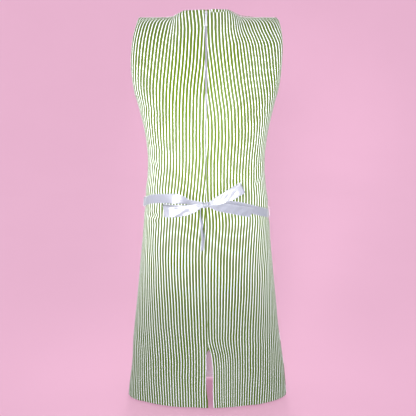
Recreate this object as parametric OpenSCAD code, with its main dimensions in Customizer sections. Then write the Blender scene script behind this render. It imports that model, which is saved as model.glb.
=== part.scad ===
// Sleeveless striped sheath dress with a centre back zip, a back vent and a ribbon tied in a bow.
// Millimetres. The origin is at shoulder level on the centre plane. The back, with the zip and the
// bow, faces -Y. Left and right are the wearer's: left is -X.

/* [Levels below the shoulder line] */
// Depth of the armhole, down to the underarm
underarm_drop = 168; // [150:1:185]
// Level of the rib cage
rib_drop = 250; // [230:1:270]
// Level of the narrowest place, the waist
waist_drop = 325; // [310:1:345]
// Level of the ribbon where it rounds the front
ribbon_drop = 448; // [430:1:470]
// Level of the fullest hip
hip_drop = 620; // [590:1:650]
// Top of the back vent
vent_drop = 815; // [780:1:860]
// Level of the hem
hem_drop = 1036; // [1000:1:1080]

/* [Widths across the back] */
// Between the shoulder tips
shoulder_w = 304; // [296:1:312]
// Between the armhole edges at the shoulder blades
blade_w = 341; // [334:1:348]
// At the underarm
underarm_w = 328; // [320:1:336]
// At the rib cage
rib_w = 295; // [288:1:305]
// At the waist
waist_w = 287; // [275:1:292]
// At the ribbon
ribbon_level_w = 313; // [304:1:322]
// At the fullest hip
hip_w = 357; // [345:1:370]
// At the hem
hem_w = 468; // [440:1:490]

/* [Depths behind and in front of the side seams] */
// Back of the neckline
nape_back = 63.5; // [58:0.5:68]
// Shoulder blades at underarm level
blade_back = 88; // [82:0.5:94]
// Back at the waist
waist_back = 84; // [80:0.5:88]
// Back at the ribbon
ribbon_back = 91; // [87:0.5:95]
// Back at the hip
hip_back = 108; // [100:0.5:114]
// Back at the hem
hem_back = 61; // [55:0.5:75]
// Front at the bust
bust_front = 116; // [106:0.5:122]
// Front at the waist
waist_front = 92; // [86:0.5:98]
// Front at the ribbon
ribbon_front = 97; // [92:0.5:103]
// Front at the hip
hip_front = 104; // [98:0.5:110]
// Front at the hem
hem_front = 70; // [60:0.5:80]

/* [Neck and shoulders] */
// Half the width of the neckline
neck_half_w = 72; // [66:0.5:78]
// Height of the nape above the shoulder line
nape_rise = 17; // [14:0.5:20]
// Height of the shoulder seam at the neck
shoulder_rise = 5; // [4:0.5:8]
// Drop of the front neckline
front_neck_drop = 66; // [55:1:80]

/* [Cloth] */
// Thickness of the striped cloth
cloth_t = 1.2; // [1:0.1:1.4]
// Thickness of a facing
facing_t = 0.6; // [0.4:0.1:0.7]
// Thickness of the lining
lining_t = 0.8; // [0.6:0.1:1]
// Distance from the hem up to the lining's edge
lining_short = 50; // [30:1:75]

/* [Ribbon] */
// Width of the ribbon
ribbon_w = 25; // [23:0.5:26]
// Thickness of the ribbon
ribbon_t = 0.8; // [0.6:0.1:1]
// Level of the knot below the shoulder line
knot_drop = 404; // [400:1:408]

/* [Zip] */
// Length of the zip below the neckline
zip_len = 408; // [400:1:412]
// Half the gap between the cloth's edges over the zip
zip_half_gap = 1.5; // [1.3:0.1:1.8]
// Length of the pull
pull_len = 25; // [20:0.5:27]
// Greatest width of the pull
pull_w = 5; // [4:0.1:6]

/* [Hidden] */
LEFT = -1;
RIGHT = 1;
BACK = -1;
FRONT = 1;

cloth_green = [0.62, 0.72, 0.36];
lining_white = [0.95, 0.95, 0.93];
satin_white = [0.91, 0.91, 0.96];
zip_grey = [0.78, 0.78, 0.84];
seam_clear = 0.3;

// ---- Outline of the body ----------------------------------------------------------------------

// Level, half width, back depth, front depth, roundness exponent of the cross-section
BODY = [
    [-underarm_drop, underarm_w / 2, blade_back, bust_front - 3, 2.4],
    [-rib_drop, rib_w / 2, blade_back - 2, bust_front - 8, 2.35],
    [-waist_drop, waist_w / 2, waist_back, waist_front, 2.3],
    [-ribbon_drop, ribbon_level_w / 2, ribbon_back, ribbon_front, 2.3],
    [-hip_drop, hip_w / 2, hip_back, hip_front, 2.2],
    [-(hip_drop + hem_drop) / 2, (hip_w + hem_w) / 4, (hip_back + hem_back) / 2 + 2,
        (hip_front + hem_front) / 2 + 2, 2.05],
    [-hem_drop, hem_w / 2, hem_back, hem_front, 1.9]
];
// Level and half width of the armhole's edge
ARMHOLE = [
    [shoulder_rise, shoulder_w / 2], [-5, shoulder_w / 2 + 6], [-40, blade_w / 2 - 2.5],
    [-95, blade_w / 2], [-underarm_drop, underarm_w / 2]
];

function clamp(a, lo, hi) = min(hi, max(lo, a));
function smooth(t) = let(u = clamp(t, 0, 1)) u * u * (3 - 2 * u);
function mix(a, b, t) = a + (b - a) * t;

// Smooth curve through the rows of a table, whose first column falls from row to row
function row_at(t, z, i = 0) = i >= len(t) - 2 || z >= t[i + 1][0] ? i : row_at(t, z, i + 1);
function slope_at(t, i, c) = let(a = max(i - 1, 0), b = min(i + 1, len(t) - 1))
    (t[b][c] - t[a][c]) / (t[b][0] - t[a][0]);
function curve(t, z, c) = let(
        i = row_at(t, z), h = t[i + 1][0] - t[i][0], u = clamp((z - t[i][0]) / h, 0, 1),
        m0 = slope_at(t, i, c) * h, m1 = slope_at(t, i + 1, c) * h
    ) (2 * u ^ 3 - 3 * u ^ 2 + 1) * t[i][c] + (u ^ 3 - 2 * u ^ 2 + u) * m0
        + (3 * u ^ 2 - 2 * u ^ 3) * t[i + 1][c] + (u ^ 3 - u ^ 2) * m1;

// The centre back is a straight line from the nape to the ribbon, so that the zip can run on it
zip_lean = (ribbon_back - nape_back) / (ribbon_drop + nape_rise);
function spine(z) = nape_back + (nape_rise - z) * zip_lean;
function back_at_centre(z) = z > -ribbon_drop ? spine(z) : curve(BODY, z, 2);

spine_half_w = 62;
function depth(face, x, z) = let(
        a = min(1, abs(x) / curve(BODY, z, 1)), m = curve(BODY, z, 4),
        round_off = (1 - a ^ m) ^ (1 / m),
        full = curve(BODY, z, face == BACK ? 2 : 3)
    ) round_off * (face == BACK ? mix(back_at_centre(z), full, smooth(abs(x) / spine_half_w)) : full);

// ---- Yoke, from the underarm to the neckline and the shoulder seams ----------------------------

neck_shelf = 48;
shoulder_round = 2.6;
function armhole_gap(face, v) = (face == BACK ? 46 : 52) * max(0, sin(180 * v ^ 0.85)) ^ 0.7;
function neck_arc(x) = sqrt(max(0, 1 - (x / neck_half_w) ^ 2));
function top_level(face, x) = face == BACK
    ? mix(shoulder_rise, nape_rise, smooth((neck_half_w - abs(x)) / (neck_half_w - neck_shelf)))
    : shoulder_rise - front_neck_drop * neck_arc(x);
function top_depth(face, x) = (face == BACK ? nape_back : 80) * neck_arc(x);

// How far across a column stands, from 0 at the centre to 1 at the side
function across(s) = sin(90 * s) ^ 0.9;

// Half the gap between the two back panels: the zip above, and the open vent below
vent_gap_left = [[-vent_drop, 0.1], [-vent_drop - 30, 3.4], [-hem_drop + 60, 3.6], [-hem_drop, 0.6]];
vent_gap_right = [[-vent_drop, 0.1], [-vent_drop - 50, 15], [-vent_drop - 110, 18.5], [-hem_drop, 19.5]];
zip_end = nape_rise - zip_len;
function centre_gap(side, z) = z > zip_end + 6 ? zip_half_gap
    : z > zip_end ? mix(0.1, zip_half_gap, (z - zip_end) / 6)
    : z > -vent_drop ? 0.1
    : curve(side == LEFT ? vent_gap_left : vent_gap_right, z, 1);

function yoke_point(face, side, s, v, gap) = let(
        top_x = gap + (shoulder_w / 2 - gap) * across(s),
        z = mix(-underarm_drop, top_level(face, top_x), v),
        x = gap + (curve(ARMHOLE, z, 1) - gap) * across(s),
        base = depth(face, gap + (underarm_w / 2 - gap) * across(s), -underarm_drop),
        top = top_depth(face, top_x), rounded = (1 - v ^ shoulder_round) ^ (1 / shoulder_round),
        straight = 1 - v, q = face == BACK ? smooth(top_x / neck_half_w) : 1,
        y = top + (base - top) * mix(straight, rounded, q)
            + armhole_gap(face, v) * (1 - (1 - across(s) ^ 2.4) ^ (1 / 2.4))
    ) [side * x, face * y, z];

function tube_point(face, side, s, r, gap) = let(
        z = mix(-hem_drop, -underarm_drop, r), g = gap < 0 ? centre_gap(side, z) : gap,
        x = g + (curve(BODY, z, 1) - g) * across(s)
    ) [side * x, face * depth(face, x, z), z];

// A point on the outside of the cloth. r runs from 0 at the hem to 1 at the underarm and 2 at the
// top edge. A gap below 0 means the back panels' own gap
function skin(face, side, s, r, gap) = r <= 1
    ? tube_point(face, side, s, r, gap)
    : yoke_point(face, side, s, r - 1, gap < 0 ? zip_half_gap : gap);

// The same point, moved inwards from the cloth's face. It stays on its own side of the seams, which
// all lie in the plane y = 0
function inside(face, side, s, r, gap, d) = let(
        e = 0.012, f = 0.004,
        p = skin(face, side, s, r, gap),
        du = skin(face, side, min(1, s + e), r, gap) - skin(face, side, max(0, s - e), r, gap),
        dr = skin(face, side, s, min(2, r + f), gap) - skin(face, side, s, max(0, r - f), gap),
        n = cross(du, dr) * -side * face,
        q = p - n / norm(n) * d
    ) [q[0], face * max(face * q[1], seam_clear / 2), q[2]];

// ---- Cloth as a closed shell -------------------------------------------------------------------

// A closed shell between two grids of points, out and in, of the same size
module shell(out, in, turned = false) {
    rows = len(out);
    cols = len(out[0]);
    n = rows * cols;
    function id(i, j) = i * cols + j;
    function quad(a, b, c, d) = turned ? [[a, d, c], [a, c, b]] : [[a, b, c], [a, c, d]];
    faces = [
        for (i = [0:rows - 2], j = [0:cols - 2])
            for (f = quad(id(i, j), id(i + 1, j), id(i + 1, j + 1), id(i, j + 1))) f,
        for (i = [0:rows - 2], j = [0:cols - 2])
            for (f = quad(n + id(i, j), n + id(i, j + 1), n + id(i + 1, j + 1), n + id(i + 1, j))) f,
        for (j = [0:cols - 2], i = [0, rows - 1]) let(a = id(i, i == 0 ? j : j + 1),
            b = id(i, i == 0 ? j + 1 : j)) for (f = quad(a, b, n + b, n + a)) f,
        for (i = [0:rows - 2], j = [0, cols - 1]) let(a = id(j == 0 ? i + 1 : i, j),
            b = id(j == 0 ? i : i + 1, j)) for (f = quad(a, b, n + b, n + a)) f
    ];
    polyhedron([for (r = out, p = r) p, for (r = in, p = r) p], faces);
}

// Steps from a to b
function steps(a, b, n) = [for (i = [0:n]) mix(a, b, i / n)];

// A layer of cloth on one side of one face, from depth d under the cloth's face and t thick
module layer(face, side, columns, levels, d, t, gap = -1) {
    out = [for (r = levels) [for (s = columns) inside(face, side, s, r, gap, d)]];
    in = [for (r = levels) [for (s = columns) inside(face, side, s, r, gap, d + t)]];
    shell(out, in, face * side > 0);
}

// A layer that runs across the whole face, from side seam to side seam
module whole_layer(face, half_columns, levels, d, t) {
    signed = concat([for (i = [len(half_columns) - 1:-1:1]) -half_columns[i]], half_columns);
    out = [for (r = levels) [for (s = signed)
        inside(face, s < 0 ? LEFT : RIGHT, abs(s), r, 0, d)]];
    in = [for (r = levels) [for (s = signed)
        inside(face, s < 0 ? LEFT : RIGHT, abs(s), r, 0, d + t)]];
    shell(out, in, face > 0);
}

// The column that meets the corner of the neckline, and more columns close to it
neck_s = asin((neck_half_w / (shoulder_w / 2)) ^ (1 / 0.9)) / 90;
neck_columns = [0, 0.04, 0.08, 0.14, 0.2, neck_s - 0.035, neck_s - 0.012, neck_s];
inner_shoulder_columns = [neck_s + 0.015, neck_s + 0.06, 0.42, 0.5];
panel_columns = concat(neck_columns, inner_shoulder_columns, [0.58, 0.68, 0.78, 0.88, 0.95, 1]);
top_levels = [1.68, 1.79, 1.87, 1.93, 1.97, 1.99];
yoke_levels = concat([1.015, 1.05, 1.12, 1.25, 1.4, 1.55], top_levels, [2]);
panel_levels = concat(steps(0, 1, 20), yoke_levels);

module back_panel(side) {
    color(cloth_green) layer(BACK, side, panel_columns, panel_levels, 0, cloth_t);
}

module back_panel_left() { back_panel(LEFT); }

module back_panel_right() { back_panel(RIGHT); }

module front_panel() {
    color(cloth_green) whole_layer(FRONT, panel_columns, panel_levels, 0, cloth_t);
}

// ---- Lining and facings ------------------------------------------------------------------------

facing_in = cloth_t + 0.9;
lining_in = facing_in + facing_t + seam_clear;
lining_half_gap = 22;
lining_columns = [0, 0.08, 0.14, 0.2, neck_s - 0.035, neck_s, 0.42, 0.58, 0.78, 0.95, 1];
lining_levels = concat([lining_short / (hem_drop - underarm_drop)], steps(0.1, 1, 18),
    [1.05, 1.12, 1.25, 1.4, 1.55, 1.63]);

module lining_back(side) {
    color(lining_white)
        layer(BACK, side, lining_columns, lining_levels, lining_in, lining_t, lining_half_gap);
}

module lining_back_left() { lining_back(LEFT); }

module lining_back_right() { lining_back(RIGHT); }

module lining_front() {
    color(lining_white)
        whole_layer(FRONT, lining_columns, lining_levels, lining_in, lining_t);
}

neck_facing_columns = concat(neck_columns, inner_shoulder_columns);
facing_half_gap = 7;

module neck_facing_back(side) {
    color(cloth_green) layer(BACK, side, neck_facing_columns, top_levels, facing_in,
        facing_t, facing_half_gap);
}

module neck_facing_back_left() { neck_facing_back(LEFT); }

module neck_facing_back_right() { neck_facing_back(RIGHT); }

module neck_facing_front() {
    color(cloth_green)
        whole_layer(FRONT, neck_facing_columns, top_levels, facing_in, facing_t);
}

// The facing goes round the whole armhole, in a back half and a front half that meet at the seams
armhole_facing_columns = [0.58, 0.68, 0.78, 0.88, 0.95, 1];
armhole_facing_levels = concat([0.95, 1, 1.015, 1.05, 1.12, 1.25, 1.4, 1.55], top_levels);

module armhole_facing(side) {
    color(cloth_green)
        for (face = [BACK, FRONT]) layer(face, side, armhole_facing_columns, armhole_facing_levels,
            facing_in, facing_t, face == BACK ? zip_half_gap : 0);
}

module armhole_facing_left() { armhole_facing(LEFT); }

module armhole_facing_right() { armhole_facing(RIGHT); }

// ---- Zip ---------------------------------------------------------------------------------------

tape_half_gap = 1;
tape_in = cloth_t + 0.4;
tape_t = 0.4;
teeth_y = tape_in + tape_t + 0.1;
teeth_t = 1.5;
tooth_near = 0.75;
tooth_far = 2.2;
zip_angle = atan(zip_lean);

// Moves its children onto the centre back line: y points into the dress, z runs up the zip
module on_zip(level) {
    translate([0, -spine(level), level]) rotate([-zip_angle, 0, 0]) children();
}

function yoke_share(z) = 1 + (z + underarm_drop) / (nape_rise + underarm_drop);
function tube_share(z) = (z + hem_drop) / (hem_drop - underarm_drop);

tape_from = tube_share(zip_end + 4);
tape_to = yoke_share(nape_rise - 1);
tape_levels = concat([tape_from],
    [for (r = panel_levels) if (r > tape_from + 0.01 && r < tape_to - 0.002) r], [tape_to]);

module zip_tape(side) {
    color(lining_white) layer(BACK, side, [0, 0.04], tape_levels, tape_in, tape_t, tape_half_gap);
}

module zip_tape_left() { zip_tape(LEFT); }

module zip_tape_right() { zip_tape(RIGHT); }

stop_len = 2;
module zip_teeth(side) {
    run = zip_len - 14;
    mid = (side * (tooth_near + tooth_far) - (tooth_far - tooth_near)) / 2;
    color(zip_grey) on_zip(nape_rise - 2)
        translate([mid, teeth_y, -run]) cube([tooth_far - tooth_near, teeth_t, run]);
}

module zip_teeth_left() { zip_teeth(LEFT); }

module zip_teeth_right() { zip_teeth(RIGHT); }

module zip_top_stops() {
    color(zip_grey) on_zip(nape_rise - 2) for (side = [LEFT, RIGHT])
        translate([side * (tooth_near + tooth_far) / 2 - 0.8, teeth_y, 0.1])
            cube([1.6, teeth_t + 0.2, stop_len]);
}

module zip_bottom_stop() {
    color(zip_grey) on_zip(nape_rise - zip_len + 7.8)
        translate([-3, teeth_y - 0.05, -4]) cube([6, teeth_t + 0.6, 4]);
}

slider_level = 9;
slider_len = 9;
slider_half_w = 4.4;
pin_y = -2.4;
pin_r = 0.5;
ear_near = 1.25;
ear_far = 2.1;
ear_r = 1.2;

// A plate in front with two ears and the pin, a web through the gap, and a channel behind the teeth
module zip_slider() {
    back_y = teeth_y + teeth_t + 0.35;
    flange_y = teeth_y + 0.1;
    color(satin_white) on_zip(slider_level) {
        translate([-2.6, -1.2, -slider_len / 2]) cube([5.2, 0.85, slider_len]);
        translate([-0.45, -0.6, -2]) cube([0.9, back_y + 1.2, 4]);
        translate([-slider_half_w, back_y, -slider_len / 2])
            cube([2 * slider_half_w, 1.2, slider_len]);
        for (side = [LEFT, RIGHT]) {
            translate([side * (slider_half_w - 0.7) - 0.7, flange_y, -slider_len / 2])
                cube([1.4, back_y - flange_y + 0.2, slider_len]);
            translate([side > 0 ? ear_near : -ear_far, pin_y, 0]) {
                rotate([0, 90, 0]) cylinder(h = ear_far - ear_near, r = ear_r, $fn = 32);
                translate([0, 0, -ear_r]) cube([ear_far - ear_near, -pin_y - 0.8, 2 * ear_r]);
            }
        }
        translate([-ear_far, pin_y, 0]) rotate([0, 90, 0]) cylinder(h = 2 * ear_far, r = pin_r, $fn = 32);
    }
}

eye_r = 1.15;
eye_half_w = 0.95;
pull_t = 0.9;
// A teardrop plate that hangs on the slider's pin
module zip_pull() {
    wide_r = pull_w / 2;
    color(satin_white) on_zip(slider_level) translate([0, pin_y, 0]) difference() {
        union() {
            translate([-eye_half_w, 0, 0]) rotate([0, 90, 0])
                cylinder(h = 2 * eye_half_w, r = eye_r, $fn = 32);
            translate([0, pull_t / 2, 0]) rotate([90, 0, 0]) linear_extrude(pull_t)
                polygon([[-eye_half_w, 0], [-wide_r, -pull_len + wide_r],
                    for (a = [180:15:360]) [wide_r * cos(a), -pull_len + wide_r + wide_r * sin(a)],
                    [wide_r, -pull_len + wide_r], [eye_half_w, 0]]);
        }
        translate([-eye_half_w - 1, 0, 0]) rotate([0, 90, 0])
            cylinder(h = 2 * eye_half_w + 2, r = pin_r + 0.1, $fn = 32);
    }
}

// ---- Ribbon and bow ----------------------------------------------------------------------------

ribbon_lift = 0.5;
carrier_half_w = 1;

// Point outside the cloth, lifted off it. u runs once round the body, from the centre back at 0
// over the right side at 0.25 and the centre front at 0.5
function side_of(u) = u <= 0.5 ? RIGHT : LEFT;
function face_of(u) = u < 0.25 || u > 0.75 ? BACK : FRONT;
function share_of(u) = let(w = u <= 0.5 ? u : 1 - u) w < 0.25 ? w * 4 : (0.5 - w) * 4;
function round_body(u, z, lift) =
    inside(face_of(u), side_of(u), share_of(u), tube_share(z), 0, -lift);

// How far the ribbon has sunk from the knot's level to its level at the front, as it goes round.
// It rides up on the left, and narrows as it goes into the knot
RIBBON_SINK = [[1, 0], [0.975, -0.07], [0.925, -0.25], [0.83, 0.05], [0.75, 0.57], [0.6, 0.95],
    [0.5, 1.09], [0.4, 1.18], [0.25, 1.18], [0.16, 0.73], [0.075, 0.18], [0, 0]];
gathered_half_w = 7;
ribbon_start = 0.013;
function ribbon_level(u) = mix(-knot_drop, -ribbon_drop, curve(RIBBON_SINK, u, 1));
function ribbon_half_w(u) =
    mix(gathered_half_w, ribbon_w / 2, smooth((min(u, 1 - u) - ribbon_start) / 0.06));

module ribbon_waistband() {
    around = steps(ribbon_start, 1 - ribbon_start, 80);
    function edge_points(lift) = [for (u = around) [for (k = [-1, 1])
        round_body(u, ribbon_level(u) + k * ribbon_half_w(u), lift)]];
    color(satin_white) shell(edge_points(ribbon_lift + ribbon_t), edge_points(ribbon_lift));
}

// Two thread loops at the side seams hold the ribbon
carrier_t = 0.8;
carrier_off = ribbon_lift + ribbon_t + 0.8;
module ribbon_carrier(side) {
    u = side == RIGHT ? 0.25 : 0.75;
    reach = ribbon_w / 2 + 3;
    // Distance of the carrier from the side seam's plane, k up or down the dress and lifted off it
    function at(k, lift, inset = 0) = let(z = ribbon_level(u) + k * (reach - inset))
        [abs(round_body(u, z, 0)[0]) + lift, z];
    outline = [at(1, 0.3), at(1, carrier_off + carrier_t), at(-1, carrier_off + carrier_t), at(-1, 0.3),
        at(-1, 0.3, carrier_t), at(-1, carrier_off, carrier_t), at(1, carrier_off, carrier_t),
        at(1, 0.3, carrier_t)];
    color(lining_white) rotate([90, 0, 0]) linear_extrude(2 * carrier_half_w, center = true)
        polygon([for (p = outline) [side * p[0], p[1]]]);
}

module ribbon_carrier_left() { ribbon_carrier(LEFT); }

module ribbon_carrier_right() { ribbon_carrier(RIGHT); }

// Point over the back of the dress, lifted off the cloth
function over_back(x, z, lift) = [x, -depth(BACK, x, z) - lift, z];

// A strip of ribbon over the back. Each stop is x, z, lift, half width and thickness
module strip(stops) {
    last = len(stops) - 1;
    fine = [for (i = [0:last - 1], f = [0:0.25:0.75]) mix(stops[i], stops[i + 1], f), stops[last]];
    function side_step(i) = let(
            a = fine[max(0, i - 1)], b = fine[min(len(fine) - 1, i + 1)], d = [b[0] - a[0], b[1] - a[1]]
        ) [-d[1], d[0]] / norm(d) * fine[i][3];
    function edge_points(share) = [for (i = [0:len(fine) - 1]) [for (k = [-1, 1]) let(
            p = [fine[i][0], fine[i][1]] + k * side_step(i)
        ) over_back(p[0], p[1], fine[i][2] + share * fine[i][4])]];
    color(satin_white) shell(edge_points(1), edge_points(0));
}

knot_w = 27;
knot_h = 26;
knot_t = 14.5;
knot_lift = 8.2;
module bow_knot() {
    color(satin_white) translate(over_back(-0.7, -knot_drop + 0.5, knot_lift)) hull() {
        scale([1, knot_t / knot_w, 0.8 * knot_h / knot_w]) sphere(d = knot_w, $fn = 24);
        scale([0.8, 0.9 * knot_t / knot_w, knot_h / knot_w]) sphere(d = knot_w, $fn = 24);
    }
}

// Loops and tails: x, z below the knot, lift off the cloth, half width, thickness
function below_knot(stops) = [for (t = stops) [t[0], t[1] - knot_drop, t[2], t[3], t[4]]];
LOOP_LEFT = [[-17, -2, 3.5, 9, 4], [-27, -5.5, 3.5, 11, 6], [-45, -12, 3.5, 13, 8],
    [-70, -16.5, 3.5, 13.5, 8], [-90, -17, 3.5, 13.5, 7], [-101, -17, 3.5, 13.5, 5]];
LOOP_RIGHT = [[15, 5.5, 4.8, 9, 3], [27, 11, 4.8, 11, 5], [49, 22, 4.8, 12.5, 8],
    [66, 31.5, 4.8, 12.5, 8], [77, 39.5, 4.8, 12.5, 6], [80, 42, 4.8, 12.5, 4]];
TAIL_SIDE = [[15.5, -4, 2.6, 8, 1], [27, -6.5, 2.6, 11.5, 1], [42, -8.5, 2.6, 12.8, 1],
    [77, -15.5, 2.6, 12.8, 1], [107, -23, 2.6, 12.8, 1]];

module bow_loop_left() { strip(below_knot(LOOP_LEFT)); }

module bow_loop_right() { strip(below_knot(LOOP_RIGHT)); }

module bow_tail_side() { strip(below_knot(TAIL_SIDE)); }

// The other tail hangs from the knot, nearly edge-on to the viewer, and swings about its root
tail_root = over_back(-13, -knot_drop - 13, 7);
tail_len = 88;
tail_deep = 17;
tail_turn = 14;
module bow_tail_hanging() {
    mid = over_back(-12, tail_root[2] - 0.4 * tail_len, 2 + tail_deep / 2);
    tip = over_back(-10, tail_root[2] - tail_len, 2 + tail_deep / 2);
    color(satin_white) {
        translate(tail_root) rotate([0, 90, 0]) cylinder(h = 3, r = 2, center = true, $fn = 24);
        hull() {
            translate(tail_root - [0, 0, 1]) cube([2.4, 3, 0.5], center = true);
            translate(mid) rotate([0, 0, tail_turn]) cube([1.6, tail_deep, 1], center = true);
        }
        hull() {
            translate(mid) rotate([0, 0, tail_turn]) cube([1.6, tail_deep, 1], center = true);
            translate(tip + [0, 0, 12]) rotate([0, 0, tail_turn]) cube([1.2, tail_deep, 1], center = true);
            translate(tip + [0, tail_deep / 2 - 1, 0]) cube([1.2, 1.5, 1], center = true);
        }
    }
}

// ---- Labels, both blank -------------------------------------------------------------------------

label_in = lining_in + lining_t + 0.4;
module neck_label() {
    color(satin_white) layer(BACK, RIGHT, steps(0.1, 0.27, 3), steps(1.74, 1.86, 3), label_in, 0.5,
        facing_half_gap);
}

module care_label() {
    color(lining_white) layer(BACK, LEFT, steps(0.955, 0.985, 2), steps(0.66, 0.72, 3), label_in,
        0.5, facing_half_gap);
}

back_panel_left();
back_panel_right();
front_panel();
lining_back_left();
lining_back_right();
lining_front();
neck_facing_back_left();
neck_facing_back_right();
neck_facing_front();
armhole_facing_left();
armhole_facing_right();
zip_tape_left();
zip_tape_right();
zip_teeth_left();
zip_teeth_right();
zip_top_stops();
zip_bottom_stop();
zip_slider();
zip_pull();
ribbon_waistband();
ribbon_carrier_left();
ribbon_carrier_right();
bow_knot();
bow_loop_left();
bow_loop_right();
bow_tail_side();
bow_tail_hanging();
neck_label();
care_label();
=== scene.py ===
"""Looks of a striped sheath dress with a back zip, a back vent and a satin ribbon tied in a bow.

Everything is in metres, in the CAD frame: the origin is at shoulder level on the centre plane, the
back faces -Y, and left and right are the wearer's, so left is -X.
"""

import math

import bpy
import numpy as np
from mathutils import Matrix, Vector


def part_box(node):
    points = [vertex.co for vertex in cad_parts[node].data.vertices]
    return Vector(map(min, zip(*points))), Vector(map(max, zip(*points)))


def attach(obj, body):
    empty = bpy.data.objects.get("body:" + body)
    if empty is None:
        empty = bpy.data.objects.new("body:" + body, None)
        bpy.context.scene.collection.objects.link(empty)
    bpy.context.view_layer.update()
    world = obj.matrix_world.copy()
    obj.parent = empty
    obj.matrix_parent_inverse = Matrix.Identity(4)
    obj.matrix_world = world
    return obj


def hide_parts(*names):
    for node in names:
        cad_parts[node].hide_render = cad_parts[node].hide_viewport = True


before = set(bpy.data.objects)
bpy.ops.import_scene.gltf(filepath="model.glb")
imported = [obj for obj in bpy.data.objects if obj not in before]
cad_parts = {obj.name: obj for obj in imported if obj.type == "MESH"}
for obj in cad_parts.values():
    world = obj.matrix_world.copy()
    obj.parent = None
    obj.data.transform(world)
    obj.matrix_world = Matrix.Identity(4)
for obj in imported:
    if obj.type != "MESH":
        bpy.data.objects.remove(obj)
scene = bpy.context.scene
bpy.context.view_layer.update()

# ---- Driving dimensions ----

LEFT, RIGHT = -1, 1
BACK, FRONT = -1, 1

SIDE_NAMES = {LEFT: "left", RIGHT: "right"}

front_low, front_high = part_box("front_panel")
HEM = front_low.z
HEM_HALF_W = front_high.x
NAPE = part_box("back_panel_left")[1].z
SHOULDER = 0.005
UNDERARM = -0.168
RIBBON_FRONT = -0.448
VENT = -0.815
ZIP_END = -0.391
KNOT = -0.404
UNDERARM_HALF_W = 0.164
NECK_HALF_W = 0.072
FRONT_NECK_DROP = 0.066
HIP_HALF_W, HIP_BACK, HIP_FRONT = 0.1785, 0.108, 0.104
HEM_BACK, HEM_FRONT = 0.061, 0.070
NAPE_BACK, NECK_FRONT, RIBBON_BACK = 0.0635, 0.080, 0.091
SPINE_HALF_W = 0.062
# Exponents: of how fast a column nears the side, and of the roundness over the shoulder and the armhole
ACROSS_POWER, SHOULDER_ROUND, ARMHOLE_ROUND = 0.9, 2.6, 2.4

# Level, half width, back depth, front depth, roundness exponent of the cross-section
BODY = np.array([
    (UNDERARM, UNDERARM_HALF_W, 0.088, 0.113, 2.4),
    (-0.250, 0.1475, 0.086, 0.108, 2.35),
    (-0.325, 0.1435, 0.084, 0.092, 2.3),
    (RIBBON_FRONT, 0.1565, RIBBON_BACK, 0.097, 2.3),
    (-0.620, HIP_HALF_W, HIP_BACK, HIP_FRONT, 2.2),
    ((HEM - 0.620) / 2, (HIP_HALF_W + HEM_HALF_W) / 2, (HIP_BACK + HEM_BACK) / 2 + 0.002,
     (HIP_FRONT + HEM_FRONT) / 2 + 0.002, 2.05),
    (HEM, HEM_HALF_W, HEM_BACK, HEM_FRONT, 1.9),
])
# Level and half width of the armhole's edge. The left shoulder hangs a little nearer the neck
ARMHOLES = {
    LEFT: np.array([(SHOULDER, 0.1490), (-0.005, 0.1525), (-0.040, 0.1608), (-0.095, 0.1660),
                    (UNDERARM, UNDERARM_HALF_W)]),
    RIGHT: np.array([(SHOULDER, 0.1560), (-0.005, 0.1615), (-0.040, 0.1672), (-0.095, 0.1665),
                     (UNDERARM, UNDERARM_HALF_W)]),
}
# Where the ribbon runs round the body: share of the way round from the centre back over the right
# side, and how far it has sunk from the knot's level to its level at the front
RIBBON_SINK = np.array([
    (1, 0), (0.975, -0.07), (0.925, -0.25), (0.83, 0.05), (0.75, 0.57), (0.6, 0.95), (0.5, 1.09),
    (0.4, 1.18), (0.25, 1.18), (0.16, 0.73), (0.075, 0.18), (0, 0),
])
# Level and place across the back of the two panels' edges, from the zip down to the hem
LEFT_EDGE = np.array([
    (0.03, -0.0021), (-0.15, -0.0020), (-0.24, -0.0011), (ZIP_END, -0.0005), (-0.52, 0.0),
    (-0.74, 0.0030), (VENT, 0.0047), (-0.822, 0.0018), (-0.835, -0.0006), (-0.88, -0.0006),
    (-0.955, -0.0006), (-1.005, 0.0032), (HEM, 0.0036),
])
RIGHT_EDGE = np.array([
    (0.03, 0.0021), (-0.15, 0.0020), (-0.24, 0.0011), (ZIP_END, 0.0005), (-0.52, 0.0001),
    (-0.74, 0.0031), (VENT, 0.0049), (-0.822, 0.0092), (-0.835, 0.0122), (-0.87, 0.0160),
    (-0.90, 0.0175), (-0.985, 0.0182), (HEM, 0.0205),
])

# Level, and how much cloth the centre back seam takes in on each side, from which the stripes run
SEAM_TAKES = {
    LEFT: np.array([
        (0.03, 0.023), (-0.015, 0.0284), (-0.045, 0.0270), (-0.09, 0.0232), (-0.14, 0.0175),
        (-0.19, 0.0143), (-0.245, 0.0128), (-0.30, 0.0122), (-0.36, 0.0075), (-0.39, 0.0035),
        (-0.45, 0.0004), (-0.50, -0.0044), (-0.55, -0.0070), (-0.67, -0.0066), (-0.79, -0.0069),
        (-0.86, -0.0058), (-0.93, -0.0074), (HEM, -0.0073),
    ]),
    RIGHT: np.array([
        (0.03, 0.0252), (-0.045, 0.0226), (-0.09, 0.0174), (-0.14, 0.0102), (-0.19, 0.0028),
        (-0.245, -0.0006), (-0.30, 0.0012), (-0.36, 0.0014), (-0.40, -0.0002), (-0.45, -0.0050),
        (-0.50, -0.0030), (-0.55, -0.0006), (-0.67, 0.0008), (-0.79, 0.0005), (HEM, -0.0005),
    ]),
}

CLOTH_T, THIN_T, LABEL_T = 0.00045, 0.0003, 0.0004
FOLD_R, CENTRE_FOLD_R = 0.0008, 0.0005
STRIPE_PERIOD = 0.0076
RIBBON_W, RIBBON_T = 0.025, 0.00035

# Grids: columns across half the back or the front, and rows below and above the underarm
BACK_COLUMNS, BACK_ROWS = 84, (236, 56)
FRONT_COLUMNS, FRONT_ROWS = 66, (200, 46)
FRONT_MIDDLE = FRONT_COLUMNS - 1

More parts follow.
